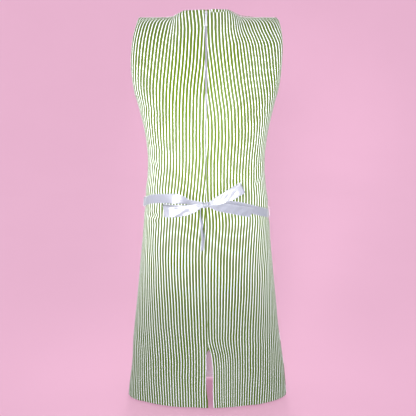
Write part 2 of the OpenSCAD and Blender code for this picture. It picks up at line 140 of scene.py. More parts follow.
# ---- Outline of the body ----


def hermite(u, start, end, start_slope, end_slope):
    """A smooth step from start to end as u goes from 0 to 1."""
    return ((2 * u**3 - 3 * u**2 + 1) * start + (u**3 - 2 * u**2 + u) * start_slope
            + (3 * u**2 - 2 * u**3) * end + (u**3 - u**2) * end_slope)


def curve(table, z, column=1):
    """Smooth curve through the rows of a table, whose first column falls from row to row."""
    z = np.asarray(z, float)
    k = np.clip(np.searchsorted(-table[:, 0], -z, side="right") - 1, 0, len(table) - 2)
    before = np.maximum(np.arange(len(table)) - 1, 0)
    after = np.minimum(np.arange(len(table)) + 1, len(table) - 1)
    slope = (table[after, column] - table[before, column]) / (table[after, 0] - table[before, 0])
    h = table[k + 1, 0] - table[k, 0]
    u = np.clip((z - table[k, 0]) / h, 0, 1)
    return hermite(u, table[k, column], table[k + 1, column], slope[k] * h, slope[k + 1] * h)


def smooth(t):
    u = np.clip(t, 0, 1)
    return u * u * (3 - 2 * u)


def mix(a, b, t):
    return a + (b - a) * t


def bump(t):
    """1 at 0, falling smoothly to 0 on either side, and small beyond 2."""
    return np.exp(-np.square(t))


def back_at_centre(z):
    lean = (RIBBON_BACK - NAPE_BACK) / (NAPE - RIBBON_FRONT)
    return np.where(z > RIBBON_FRONT, NAPE_BACK + (NAPE - z) * lean, curve(BODY, z, 2))


def depth(face, x, z):
    """How far the cloth stands behind or in front of the side seams' plane, below the underarm."""
    z = np.maximum(z, HEM)
    across_share = np.minimum(1, np.abs(x) / curve(BODY, z))
    power = curve(BODY, z, 4)
    rounded = (1 - across_share**power) ** (1 / power)
    full = curve(BODY, z, 2 if face == BACK else 3)
    if face == BACK:
        full = mix(back_at_centre(z), full, smooth(np.abs(x) / SPINE_HALF_W))
    return rounded * full


def across(s):
    """How far across a column stands, from 0 at the centre to 1 at the side."""
    return np.sin(np.pi / 2 * s) ** ACROSS_POWER


def neck_arc(x):
    return np.sqrt(np.maximum(0, 1 - (x / NECK_HALF_W) ** 2))


def top_level(face, x):
    if face == BACK:
        return mix(NAPE, SHOULDER, smooth(np.clip((np.abs(x) - 0.046) / 0.046, 0, 1) ** 0.6))
    return SHOULDER - FRONT_NECK_DROP * neck_arc(x)


def armhole_gap(face, v):
    return (0.046 if face == BACK else 0.052) * np.maximum(0, np.sin(np.pi * v**0.85)) ** 0.7


def spread(side, s, half_width, edge):
    """Place across the back of column s, between the panel's centre edge and its side."""
    return edge + (side * half_width - edge) * across(s)


def yoke(face, side, s, v, edge):
    """Points above the underarm: v is 0 there, and 1 at the neckline and the shoulder seam."""
    top_x = spread(side, s, ARMHOLES[side][0, 1], edge)
    z = mix(UNDERARM, top_level(face, top_x), v)
    x = spread(side, s, curve(ARMHOLES[side], z), edge)
    base = depth(face, spread(side, s, UNDERARM_HALF_W, edge), np.full_like(s * v, UNDERARM))
    top = (NAPE_BACK if face == BACK else NECK_FRONT) * neck_arc(top_x)
    rounded = np.maximum(0, 1 - v**SHOULDER_ROUND) ** (1 / SHOULDER_ROUND)
    whole = smooth(top_x * side / NECK_HALF_W) if face == BACK else 1
    y = (top + (base - top) * mix(1 - v, rounded, whole)
         + armhole_gap(face, v) * (1 - (1 - across(s) ** ARMHOLE_ROUND) ** (1 / ARMHOLE_ROUND)))
    return np.stack([x, face * y, z + 0 * x], -1)


def tube(face, side, s, z, edge):
    """Points below the underarm, at level z."""
    x = spread(side, s, curve(BODY, z), edge)
    y = face * depth(face, x, z)
    # The lowest part of the skirt has swung a little to the right
    swing = 0.0035 * bump((z + 0.92) / 0.06) if side == LEFT else 0.0045 * smooth((-0.80 - z) / 0.15)
    return np.stack([x + swing * across(s), y, z + 0 * x], -1)


def edge_of(side, z):
    return curve(LEFT_EDGE if side == LEFT else RIGHT_EDGE, z)


def half_cloth(face, side, columns, tube_rows, yoke_rows, seam=False):
    """Rows of points over one half of the back or the front, from the hem to the top edge."""
    s = np.linspace(0, 1, columns)[None, :]
    z = np.linspace(HEM, UNDERARM, tube_rows)[:, None]
    low = tube(face, side, s, z, edge_of(side, z) if seam else 0.0)
    # Fine rows, close together where the shoulder is round, then rows at even distances along them
    angle = np.linspace(0, np.pi / 2, 500)
    v = np.unique(np.concatenate([np.linspace(0, 1, 200), np.sin(angle) ** (2 / SHOULDER_ROUND)]))[:, None]
    edge = edge_of(side, mix(UNDERARM, NAPE, v)) if seam else 0.0
    fine = yoke(face, side, s, v, edge)
    run = np.concatenate([np.zeros((1, columns)),
                          np.linalg.norm(np.diff(fine, axis=0), axis=2).cumsum(0)])
    share = np.linspace(0, 1, yoke_rows)
    high = np.empty((yoke_rows, columns, 3))
    for j in range(columns):
        for k in range(3):
            high[:, j, k] = np.interp(share * run[-1, j], run[:, j], fine[:, j, k])
    return np.concatenate([low, high[1:]])


# ---- Grids of cloth ----


def unit(v):
    return v / np.maximum(np.linalg.norm(v, axis=-1, keepdims=True), 1e-12)


def normals(p, outward):
    """Normals of a grid of points, on the side where outward, a vector, says that most of them are."""
    n = unit(np.cross(np.gradient(p, axis=1), np.gradient(p, axis=0)))
    return n if (n @ np.asarray(outward, float)).mean() > 0 else -n


def relax(p, rows, passes):
    """Evens out creases in rows of a grid. The grid's edges stay."""
    for _ in range(passes):
        q = p[rows]
        around = (q[:-2, 1:-1] + q[2:, 1:-1] + q[1:-1, :-2] + q[1:-1, 2:]) / 4
        q[1:-1, 1:-1] = mix(q[1:-1, 1:-1], around, 0.5)
        p[rows] = q
    return p


def run_across(p, start):
    """Distance along each row from column start, less than 0 before it."""
    steps = np.linalg.norm(np.diff(p, axis=1), axis=2)
    run = np.concatenate([np.zeros((len(p), 1)), steps.cumsum(1)], 1)
    return run - run[:, start:start + 1]


def run_up(p):
    steps = np.linalg.norm(np.diff(p, axis=0), axis=2)
    return np.concatenate([np.zeros((1, p.shape[1])), steps.cumsum(0)])


class Cloth:
    """A grid of cloth: points p, outward normals n, and g: metres across, metres up, stripes."""

    def __init__(self, p, n, g):
        self.p, self.n, self.g = p, n, g

    def turned(self, edge, count, radius=FOLD_R):
        """The cloth with an allowance of count steps folded in along an edge: low, high, first or last."""
        flip = (slice(None, None, -1),) if edge in ("high", "last") else (slice(None),)
        swap = edge in ("first", "last")
        p, n, g = ((a.swapaxes(0, 1) if swap else a)[flip].copy() for a in (self.p, self.n, self.g))
        out = unit(p[0] - p[1])
        out = unit(out - n[0] * (out * n[0]).sum(-1, keepdims=True))
        p[0] = p[0] - out * radius
        kept = [1] if swap else [0, 2]
        inner_p = p[1:count + 1] - 2 * radius * n[1:count + 1]
        inner_g = 2 * g[:1] - g[1:count + 1]
        inner_g[..., kept] = g[1:count + 1][..., kept]
        angles = np.linspace(0, math.pi, 7)[1:]
        round_p = np.array([p[0] - radius * n[0] + radius * (n[0] * math.cos(a) + out * math.sin(a))
                            for a in angles])
        round_g = np.array([g[0] for _ in angles])
        round_n = np.array([n[0] for _ in angles])
        made = [np.concatenate([inner[::-1], rounded[::-1], whole]) for inner, rounded, whole in (
            (inner_p, round_p, p), (n[1:count + 1], round_n, n), (inner_g, round_g, g))]
        made = [a[flip] for a in made]
        return Cloth(*(a.swapaxes(0, 1) if swap else a for a in made))

    def moved(self, distance):
        """The cloth moved along its normals."""
        return Cloth(self.p + self.n * distance, self.n, self.g)

    def part(self, rows, columns):
        return Cloth(self.p[rows, columns], self.n[rows, columns], self.g[rows, columns])


def grid_faces(p, facing=None, closed=False):
    """Quads of a grid of points, on the side of facing. A closed grid's last column meets its first."""
    rows, columns = p.shape[:2]
    ids = np.arange(rows * columns).reshape(rows, columns)
    if closed:
        ids = np.concatenate([ids, ids[:, :1]], 1)
    a, b, c, d = ids[:-1, :-1], ids[:-1, 1:], ids[1:, 1:], ids[1:, :-1]
    quads = np.stack([a, b, c, d], -1).reshape(-1, 4)
    flat = p.reshape(-1, 3)
    if facing is not None:
        way = np.cross(flat[quads[:, 1]] - flat[quads[:, 0]], flat[quads[:, 3]] - flat[quads[:, 0]])
        if (way * facing.reshape(-1, 3)[quads[:, 0]]).sum() < 0:
            quads = quads[:, ::-1]
    return quads


def make_piece(name, points, faces, material, attributes=(), thickness=0.0):
    """A smooth mesh, with its attributes, and a thickness added on its inner side."""
    mesh = bpy.data.meshes.new(name)
    mesh.from_pydata(points.reshape(-1, 3).tolist(), [], faces.tolist())
    for label, values in attributes:
        if values.shape[-1] == 3:
            made = mesh.attributes.new(label, "FLOAT_VECTOR", "POINT")
            made.data.foreach_set("vector", values.astype(np.float32).ravel())
        else:
            made = mesh.attributes.new(label, "FLOAT", "POINT")
            made.data.foreach_set("value", values.astype(np.float32).ravel())
    mesh.shade_smooth()
    mesh.materials.append(material)
    made = bpy.data.objects.new(name, mesh)
    scene.collection.objects.link(made)
    if thickness:
        solid = made.modifiers.new("thickness", "SOLIDIFY")
        solid.thickness = thickness
        solid.offset = -1
        solid.use_even_offset = False
    return made


def make_cloth(name, cloths, material, thickness):
    """One piece of one or more grids of cloth."""
    points, faces, run = [], [], 0
    for cloth in cloths:
        points.append(cloth.p.reshape(-1, 3))
        faces.append(grid_faces(cloth.p, cloth.n) + run)
        run += len(points[-1])
    made = np.concatenate([cloth.g.reshape(-1, 3) for cloth in cloths])
    stripe = made[:, 2:].copy()
    made[:, 2] = 0
    return make_piece(name, np.concatenate(points), np.concatenate(faces), material,
                      [("stripe", stripe), ("grain", made)], thickness)


def make_tube(name, line, radius, sides, material):
    """A tube along a line of points, closed at both ends."""
    along = unit(np.gradient(line, axis=0))
    aside = unit(np.cross(along, (0.31, 0.52, 0.79)))
    over = np.cross(along, aside)
    turns = np.linspace(0, 2 * math.pi, sides + 1)[:-1, None]
    rings = np.array([at + radius * (np.cos(turns) * a + np.sin(turns) * o)
                      for at, a, o in zip(line, aside, over)])
    rings = np.concatenate([rings[:1] * 0 + line[0], rings, rings[:1] * 0 + line[-1]])
    outward = unit(rings - np.concatenate([line[:1], line, line[-1:]])[:, None] + 1e-9)
    return make_piece(name, rings, grid_faces(rings, outward, closed=True), material)


def waves(u, v, seed, wide, tall, count=6):
    """Soft irregular waves about 1 high, some metres wide across and tall up."""
    draw = np.random.default_rng(seed)
    total = np.zeros(np.broadcast(u, v).shape)
    for _ in range(count):
        a, b = draw.uniform(0.6, 1.6, 2) * draw.choice([-1, 1], 2)
        total = total + np.sin(2 * np.pi * (a * u / wide + b * v / tall) + draw.uniform(0, 6.28))
    return total / math.sqrt(count / 2) / 1.4


# ---- How the cloth hangs ----


def share_round(face, side, s):
    """Share of the way round the body, from the centre back over the right side."""
    quarter = s / 4 if face == BACK else 0.5 - s / 4
    return quarter if side == RIGHT else 1 - quarter


def ribbon_level(u):
    return mix(KNOT, RIBBON_FRONT, curve(RIBBON_SINK, u))


def side_share(x, z):
    """Column at which a place x stands, from 0 at the centre to 1 at the side."""
    part = np.clip(np.abs(x) / curve(BODY, z), 0, 1)
    return np.arcsin(part ** (1 / ACROSS_POWER)) / (np.pi / 2)


def hang(face, x, z, u, v):
    """How far the cloth stands off the outline, at place x and level z. u and v run along the cloth."""
    s = side_share(x, z)
    level = np.where(x > 0, ribbon_level(share_round(face, RIGHT, s)),
                     ribbon_level(share_round(face, LEFT, s)))
    below = level - z
    near = np.clip(np.abs(below) / 0.07, 0, 1)
    tied = -0.0024 * bump(below / 0.013) + 0.0022 * bump((below + 0.034) / 0.022)
    tied += 0.0010 * bump((below - 0.032) / 0.022)
    gathers = np.sin(2 * np.pi * u / 0.023 + 1.3 * np.sin(u / 0.02)) * (1 - near) ** 2
    tied += 0.0006 * gathers * (0.6 + 0.4 * np.sin(u / 0.031))
    skirt = smooth((-0.50 - z) / 0.45) * mix(0.45, 1, smooth((z - HEM) / 0.12))
    folds = 0.0013 * skirt * np.sin(2 * np.pi * u / 0.125 + 0.9 * np.sin(v / 0.11) + 0.6)
    folds += 0.0006 * skirt * np.sin(2 * np.pi * u / 0.071 + 0.8 * np.sin(v / 0.09) + 2.0)
    calm = 0.00030 * waves(u, v, 5 if face == BACK else 9, 0.080, 0.220)
    calm += 0.00012 * waves(u, v, 6 if face == BACK else 10, 0.030, 0.100)
    return tied + folds + calm


def crease(x, z, start, end, width, deep):
    """A soft crease along a line, from start to end, that fades out at both ends."""
    a, b = np.array(start), np.array(end)
    length = np.linalg.norm(b - a)
    along = ((x - a[0]) * (b[0] - a[0]) + (z - a[1]) * (b[1] - a[1])) / length**2
    aside = ((x - a[0]) * (b[1] - a[1]) - (z - a[1]) * (b[0] - a[0])) / length
    return deep * bump((along - 0.5) / 0.42) * bump(aside / width)


# Creases in the back: start, end, width, depth. Each is a place across the back and a level
CREASES = [
    ((-0.147, -0.447), (-0.108, -0.440), 0.005, -0.0042),
    ((-0.147, -0.458), (-0.108, -0.452), 0.006, 0.0030),
    ((-0.120, -0.425), (-0.060, -0.436), 0.006, -0.0018),
    ((0.100, -0.345), (0.140, -0.300), 0.006, -0.0034),
    ((0.092, -0.352), (0.132, -0.306), 0.007, 0.0026),
    ((0.108, -0.372), (0.146, -0.345), 0.006, -0.0024),
    ((0.012, -0.806), (0.052, -0.862), 0.0065, -0.0058),
    ((0.022, -0.800), (0.066, -0.852), 0.008, 0.0030),
    ((0.006, -0.425), (0.024, -0.500), 0.0060, -0.0042),
    ((0.018, -0.425), (0.036, -0.495), 0.0070, 0.0020),
    ((-0.030, -0.812), (-0.006, -0.800), 0.007, -0.0016),
    ((-0.125, -0.600), (-0.158, -0.520), 0.010, -0.0022),
    ((0.125, -0.610), (0.160, -0.520), 0.010, -0.0020),
    ((-0.090, -0.205), (-0.152, -0.178), 0.008, -0.0020),
    ((0.090, -0.210), (0.152, -0.180), 0.008, -0.0022),
    ((-0.100, -0.330), (-0.142, -0.305), 0.007, -0.0022),
    ((-0.060, -0.300), (-0.135, -0.270), 0.009, -0.0014),
]


def seam_curve(side, u, z):
    """How much cloth is taken in between the centre line and a place u from it."""
    taken = curve(SEAM_TAKES[side], z)
    if side == RIGHT:
        taken = taken + 0.0100 * smooth((np.abs(u) - 0.02) / 0.06) * smooth((z + 0.055) / 0.04)
        taken = taken + 0.0070 * smooth((np.abs(u) - 0.075) / 0.06) * smooth((z + 0.19) / 0.09)
        taken = taken + 0.0036 * smooth(np.abs(u) / 0.06) * bump((z + 0.78) / 0.10)
    return taken


def stripe_wander(u, v, seed):
    """The stripes' small wanderings, in metres."""
    return 0.00022 * waves(u, v, seed, 0.12, 0.11) + 0.00008 * waves(u, v, seed + 1, 0.05, 0.030)


def vent_pull(side, u, z):
    """How far the open vent's edge has drawn the stripes beside it, which fades with distance from it."""
    closed = edge_of(side, np.maximum(z, VENT))
    opened = edge_of(side, z) - closed
    if side == LEFT:
        return -opened
    eased = np.mean([edge_of(side, np.minimum(z + h, 0)) - edge_of(side, np.maximum(z + h, VENT))
                     for h in (-0.04, -0.03, -0.02, -0.01, 0, 0.01)], axis=0)
    return opened - eased * bump(u / 0.055)


def back_cloth(side):
    p = half_cloth(BACK, side, BACK_COLUMNS, *BACK_ROWS, seam=True)
    p = relax(p, slice(BACK_ROWS[0] - 14, BACK_ROWS[0] + 49), 30)
    u, v = side * run_across(p, 0), run_up(p)
    n = normals(p, (0, BACK, 0))
    x, z = p[..., 0], p[..., 2]
    lift = hang(BACK, x, z, u, v)
    for start, end, width, deep in CREASES:
        lift = lift + crease(x, z, start, end, width, deep)
    held = smooth((z - UNDERARM) / 0.06)
    edge_hold = smooth(np.abs(u) / 0.010)
    lift = lift * mix(1, 0.35, held) * mix(0.5, 1, edge_hold)
    p = p + n * lift[..., None]
    across_back = np.abs(u) + seam_curve(side, u, z) + vent_pull(side, u, z)
    stripe = (across_back + stripe_wander(u, v, 21 + side)) / STRIPE_PERIOD
    return Cloth(p, normals(p, (0, BACK, 0)), np.stack([u, v, stripe], -1))


def front_cloth():
    halves = [half_cloth(FRONT, side, FRONT_COLUMNS, *FRONT_ROWS) for side in (LEFT, RIGHT)]
    p = np.concatenate([halves[0][:, :0:-1], halves[1]], 1)
    p = relax(p, slice(FRONT_ROWS[0] - 12, FRONT_ROWS[0] + 44), 60)
    u, v = run_across(p, FRONT_MIDDLE), run_up(p)
    n = normals(p, (0, FRONT, 0))
    lift = hang(FRONT, p[..., 0], p[..., 2], u, v) * mix(1, 0.35, smooth((p[..., 2] - UNDERARM) / 0.06))
    p = p + n * lift[..., None]
    stripe = (u + stripe_wander(u, v, 41)) / STRIPE_PERIOD
    return Cloth(p, normals(p, (0, FRONT, 0)), np.stack([u, v, stripe], -1))


# ---- Materials ----


class Nodes:
    """Short ways to add nodes to a material."""

    def __init__(self, name):
        self.material = bpy.data.materials.new(name)
        self.material.use_nodes = True
        self.tree = self.material.node_tree
        self.shader = self.tree.nodes["Principled BSDF"]

    def add(self, kind, inputs=(), **settings):
        node = self.tree.nodes.new("ShaderNode" + kind)
        for key, value in settings.items():
            setattr(node, key, value)
        for key, value in dict(inputs).items():
            self.put(node.inputs[key], value)
        return node

    def put(self, socket, value):
        if isinstance(value, bpy.types.NodeSocket):
            self.tree.links.new(value, socket)
        else:
            socket.default_value = value

    def attribute(self, name, output="Fac"):
        return self.add("Attribute", attribute_name=name).outputs[output]

    def place(self):
        return self.add("TexCoord").outputs["Object"]

    def math(self, operation, a, b=0.0, c=0.0):
        return self.add("Math", {0: a, 1: b, 2: c}, operation=operation).outputs[0]

    def ramp(self, value, low, high, to_low=0.0, to_high=1.0):
        """A soft step from to_low to to_high as value goes from low to high."""
        return self.add("MapRange", {"Value": value, "From Min": low, "From Max": high,
                                     "To Min": to_low, "To Max": to_high},
                        interpolation_type="SMOOTHSTEP").outputs[0]

    def scaled(self, vector, scale):
        return self.add("Mapping", {"Vector": vector, "Scale": scale}).outputs[0]

    def noise(self, vector, scale, detail=2.0, roughness=0.5):
        return self.add("TexNoise", {"Vector": vector, "Scale": scale, "Detail": detail,
                                     "Roughness": roughness}).outputs["Fac"]

    def blend(self, share, a, b):
        node = self.add("Mix", {0: share}, data_type="RGBA")
        self.put(node.inputs[6], a)
        self.put(node.inputs[7], b)
        return node.outputs[2]

    def bump(self, height, distance, strength=1.0, normal=None):
        node = self.add("Bump", {"Height": height, "Distance": distance, "Strength": strength})
        if normal is not None:
            self.put(node.inputs["Normal"], normal)
        return node.outputs[0]

    def surface(self, **values):
        for key, value in values.items():
            self.put(self.shader.inputs[key.replace("_", " ")], value)
        return self.material


GREEN = (0.080, 0.128, 0.0040, 1)
GREEN_DARK = (0.061, 0.100, 0.0028, 1)
WHITE = (0.86, 0.86, 0.90, 1)
WHITE_SHADE = (0.79, 0.79, 0.84, 1)
STRIPE_SHARE = 0.73
# The lining's glow is painted light: an emission that brightens the lining where it stands in shade inside
# the dress
LINING_TONE, LINING_PAINTED_GLOW = (0.60, 0.42, 0.51, 1), 0.20


def weave_height(m, grain, pitch):
    """Height of a plain weave, with threads pitch metres apart."""
    place = m.scaled(grain, (1 / pitch, 1 / pitch, 1))
    parts = m.add("SeparateXYZ", {0: place})
    warp = m.math("SINE", m.math("MULTIPLY", parts.outputs[0], 2 * math.pi))
    weft = m.math("SINE", m.math("MULTIPLY", parts.outputs[1], 2 * math.pi))
    return m.math("MULTIPLY", m.math("ADD", warp, weft), 0.5)


def striped_material():
    m = Nodes("striped_cotton")
    grain = m.attribute("grain", "Vector")
    threads = m.noise(m.scaled(grain, (2600, 380, 1)), 1.0, 2)
    wefts = m.noise(m.scaled(grain, (320, 2400, 1)), 1.0, 2)
    patches = m.noise(grain, 9.0, 3)
    wobble = m.math("MULTIPLY", m.math("SUBTRACT", wefts, 0.5), 0.05)
    place = m.math("FRACT", m.math("ADD", m.attribute("stripe"), wobble))
    aside = m.math("ABSOLUTE", m.math("SUBTRACT", place, 0.5))
    green = m.ramp(aside, STRIPE_SHARE / 2 - 0.03, STRIPE_SHARE / 2 + 0.03, 1.0, 0.0)
    yarns = m.math("ADD", m.math("MULTIPLY", threads, 0.6), m.math("MULTIPLY", wefts, 0.4))
    tone = m.ramp(yarns, 0.3, 0.7)
    greens = m.blend(tone, GREEN_DARK, GREEN)
    whites = m.blend(tone, WHITE_SHADE, WHITE)
    striped = m.blend(green, whites, greens)
    faded = m.blend(m.ramp(patches, 0.35, 0.75, 0.0, 0.03), striped, WHITE)
    # The grain's third number is 1 where the cloth is faced with lining, and 0 elsewhere. There the cloth
    # takes the lining's tone and its glow, which is painted light: an emission that brightens it where it
    # stands in shade inside the dress.
    faced = m.add("SeparateXYZ", {0: grain}).outputs[2]
    faded = m.blend(faced, faded, LINING_TONE)
    # The white stripes pucker a little between the flat green ones
    pucker = m.noise(m.scaled(grain, (330, 190, 1)), 1.0, 2)
    pucker = m.math("MULTIPLY", m.math("SUBTRACT", pucker, 0.5), m.math("SUBTRACT", 1.15, green))
    normal = m.bump(pucker, 0.0006, 0.55)
    normal = m.bump(weave_height(m, grain, 0.00042), 0.00005, 0.6, normal)
    return m.surface(Base_Color=faded, Roughness=m.ramp(threads, 0.2, 0.8, 0.62, 0.80), Normal=normal,
                     Sheen_Weight=0.18, Sheen_Roughness=0.22, Sheen_Tint=(1, 1, 1, 1),
                     Specular_IOR_Level=0.12, Emission_Color=LINING_TONE,
                     Emission_Strength=m.math("MULTIPLY", faced, LINING_PAINTED_GLOW))


def plain_cloth_material(name, color, shade, pitch, roughness, sheen, painted_glow=0.0):
    m = Nodes(name)
    grain = m.attribute("grain", "Vector")
    threads = m.noise(m.scaled(grain, (1800, 1500, 1)), 1.0, 2)
    tone = m.blend(m.ramp(threads, 0.3, 0.7), shade, color)
    soft = m.bump(m.noise(m.scaled(grain, (60, 25, 1)), 1.0, 3), 0.0008, 0.35)
    normal = m.bump(weave_height(m, grain, pitch), 0.00004, 0.5, soft)
    # The glow is painted light: an emission that stands in for the light that comes through the panels onto
    # thin cloth inside the dress
    return m.surface(Base_Color=tone, Roughness=roughness, Normal=normal, Sheen_Weight=sheen,
                     Sheen_Roughness=0.4, Specular_IOR_Level=0.4, Emission_Color=color,
                     Emission_Strength=painted_glow)


def satin_material():
    """Satin: long floats along the ribbon, fine lines across it, and a firm woven edge."""
    m = Nodes("satin")
    grain = m.attribute("grain", "Vector")
    floats = m.noise(m.scaled(grain, (6000, 160, 1)), 1.0, 2)
    lines = m.noise(m.scaled(grain, (260, 3400, 1)), 1.0, 2)
    edge = m.ramp(m.math("ABSOLUTE", m.attribute("stripe")), 0.90, 0.94)
    tone = m.blend(m.ramp(floats, 0.25, 0.75), (0.172, 0.176, 0.216, 1), (0.217, 0.221, 0.266, 1))
    tone = m.blend(m.math("MULTIPLY", edge, 0.30), tone, (0.50, 0.50, 0.56, 1))
    puckers = m.noise(m.scaled(grain, (90, 45, 1)), 1.0, 3)
    normal = m.bump(puckers, 0.0009, 0.30)
    normal = m.bump(m.math("ADD", floats, m.math("MULTIPLY", lines, 0.4)), 0.00006, 0.5, normal)
    normal = m.bump(edge, 0.00015, 0.6, normal)
    return m.surface(Base_Color=tone, Roughness=m.ramp(floats, 0.2, 0.8, 0.27, 0.36), Normal=normal,
                     Specular_IOR_Level=0.75, Sheen_Weight=0.25, Sheen_Roughness=0.3,
                     Anisotropic=0.4, Metallic=0.0)


def enamel_material():
    m = Nodes("white_enamel")
    place = m.place()
    chips = m.noise(place, 900.0, 3)
    tone = m.blend(m.ramp(chips, 0.60, 0.72), (0.34, 0.33, 0.39, 1), (0.27, 0.27, 0.32, 1))
    normal = m.bump(m.noise(place, 350.0, 2), 0.00008, 0.4)
    return m.surface(Base_Color=tone, Roughness=m.ramp(chips, 0.3, 0.7, 0.36, 0.48), Normal=normal,
                     Coat_Weight=0.15, Coat_Roughness=0.2, Specular_IOR_Level=0.35)


def coil_material():
    m = Nodes("nylon_coil")
    place = m.place()
    tone = m.blend(m.noise(place, 500.0, 2), (0.27, 0.26, 0.32, 1), (0.35, 0.34, 0.41, 1))
    normal = m.bump(m.noise(place, 1500.0, 2), 0.00003, 0.3)
    return m.surface(Base_Color=tone, Roughness=0.38, Normal=normal, Specular_IOR_Level=0.5)


def thread_material():
    m = Nodes("thread")
    place = m.place()
    twist = m.add("TexWave", {"Vector": m.scaled(place, (1, 1, 2.2)), "Scale": 420.0, "Distortion": 0.6},
                  bands_direction="DIAGONAL").outputs["Fac"]
    tone = m.blend(twist, (0.72, 0.72, 0.74, 1), (0.90, 0.90, 0.91, 1))
    return m.surface(Base_Color=tone, Roughness=0.6, Normal=m.bump(twist, 0.0001, 0.6),
                     Sheen_Weight=0.3)


def paper_material():
    """The plain pale floor and backdrop."""
    m = Nodes("backdrop_paper")
    place = m.place()
    tone = m.blend(m.noise(place, 3.0, 3), (0.65, 0.359, 0.487, 1), (0.68, 0.378, 0.511, 1))
    return m.surface(Base_Color=tone, Roughness=0.9, Specular_IOR_Level=0.1,
                     Normal=m.bump(m.noise(place, 220.0, 3), 0.0004, 0.15),
                     Emission_Color=(0.83, 0.462, 0.624, 1), Emission_Strength=0.30)


CLOTH = striped_material()
LINING = plain_cloth_material("lining_cloth", LINING_TONE, (0.54, 0.37, 0.46, 1), 0.0003, 0.5, 0.3,
                              painted_glow=LINING_PAINTED_GLOW)
TAPE = plain_cloth_material("zip_tape", (0.36, 0.35, 0.40, 1), (0.30, 0.29, 0.34, 1), 0.0009, 0.75, 0.2)
LABEL = plain_cloth_material("label_cloth", (0.88, 0.88, 0.90, 1), (0.80, 0.80, 0.83, 1), 0.0005, 0.45, 0.3)
SATIN = satin_material()
ENAMEL = enamel_material()
COIL = coil_material()
THREAD = thread_material()
PAPER = paper_material()


def dress_piece(piece, slot, *nodes, body="dress"):
    """Lets a piece ride on a body and lets it stand for CAD nodes, which it hides. The slot is not used."""
    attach(piece, body)
    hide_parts(*nodes)


# Material, slot, thickness and end of the piece's name
PANEL = (CLOTH, "striped_cloth", CLOTH_T, "_cloth")
FACING = (CLOTH, "striped_cloth", THIN_T, "_cloth")
INSIDE = (LINING, "lining", THIN_T, "_cloth")
TAG = (LABEL, "label", LABEL_T, "_cloth")
WEAVE = (TAPE, "zip_tape", THIN_T, "_weave")


def make_sheet(node, cloths, kind):
    """A sheet of one or more grids of cloth, which stands for a CAD node."""
    material, slot, thickness, ending = kind
    piece = make_cloth(node + ending, cloths, material, thickness)
    dress_piece(piece, slot, node)
    return piece


# ---- Panels ----

# Steps of the grid that are folded in along an edge
VENT_ALLOWANCE, SEAM_ALLOWANCE, NECK_ALLOWANCE, HEM_ALLOWANCE = 5, 3, 3, 9
# Rows of the front, from its raw edge round the fold, that are faced
FACED_ROWS = HEM_ALLOWANCE + 5


def make_back_panel(side):
    cloth = back_cloth(side)
    made = cloth.turned("first", VENT_ALLOWANCE, CENTRE_FOLD_R).turned("last", SEAM_ALLOWANCE)
    made = made.turned("low", HEM_ALLOWANCE).turned("high", NECK_ALLOWANCE)
    make_sheet("back_panel_" + SIDE_NAMES[side], [made], PANEL)
    return cloth


def make_front_panel():
    cloth = front_cloth()
    made = cloth.turned("first", SEAM_ALLOWANCE).turned("last", SEAM_ALLOWANCE)
    made = made.turned("low", HEM_ALLOWANCE).turned("high", NECK_ALLOWANCE)
    piece = make_sheet("front_panel", [made], PANEL)
    # The front's hem allowance is faced with the lining's cloth, and takes the lining's painted glow too
    faced = np.zeros(made.p.size, np.float32)
    grain = piece.data.attributes["grain"]
    grain.data.foreach_get("vector", faced)
    faced[2:FACED_ROWS * made.p.shape[1] * 3:3] = 1
    grain.data.foreach_set("vector", faced)
    return cloth


BACKS = {side: make_back_panel(side) for side in (LEFT, RIGHT)}
front = make_front_panel()

# ---- Lining, facings and labels ----

FACING_IN, LINING_IN, LABEL_IN = 0.0024, 0.0031, 0.0042
BACK_LINING_SHORT, FRONT_LINING_SHORT = 0.05, 0.012
# Shares of the height, as row_at takes them, where the neck facings and the armhole facings end
NECK_FACING_LOW, ARMHOLE_FACING_LOW = 1.66, 0.95
ROLLED_W = 0.0065


def row_at(rows, share):
    """Row of a grid at a share of its height: 1 at the underarm and 2 at the top edge."""
    tube_rows, yoke_rows = rows
    whole = share * (tube_rows - 1) if share <= 1 else tube_rows - 1 + (share - 1) * (yoke_rows - 1)
    return int(round(whole))


def inner(cloth, rows, low, high, columns, distance, step=1):
    made = cloth.moved(-distance)
    return made.part(slice(row_at(rows, low), row_at(rows, high) + 1, step), columns)


def make_linings():
    for side in (LEFT, RIGHT):
        cloth = inner(BACKS[side], BACK_ROWS, BACK_LINING_SHORT / (UNDERARM - HEM), NECK_FACING_LOW,
                      slice(7, None, 2), LINING_IN, 2)
        make_sheet("lining_back_" + SIDE_NAMES[side], [cloth], INSIDE)
    cloth = inner(front, FRONT_ROWS, FRONT_LINING_SHORT / (UNDERARM - HEM), NECK_FACING_LOW,
                  slice(None, None, 2), LINING_IN, 2)
    make_sheet("lining_front", [cloth], INSIDE)


def rolled_over(cloth, columns, width):
    """The strip of facing that has rolled out over the neckline: from the edge down the outside."""
    top, below = cloth.p[-1:, columns], cloth.p[-4:-3, columns]
    share = np.linspace(0, 1, 7)[:, None, None]
    fade = smooth(np.linspace(0, 1, top.shape[1]) / 0.05)[None, :, None] * np.ones_like(share)
    fade = fade * smooth(np.linspace(1, 0, top.shape[1]) / 0.12)[None, :, None]
    n = np.repeat(cloth.n[-3:-2, columns], 7, 0)
    stand = mix(-0.0004, 0.0004 + 0.0010 * np.sin(np.pi * share), fade)
    p = top + unit(below - top) * width * share + n * stand + np.array([0, 0, 0.0011])
    g = np.repeat(cloth.g[-1:, columns], 7, 0)
    g[..., 1] = g[..., 1] + width * share[..., 0]
    g[..., 2] = g[..., 2] + 0.45
    return Cloth(p[::-1], n, g[::-1])


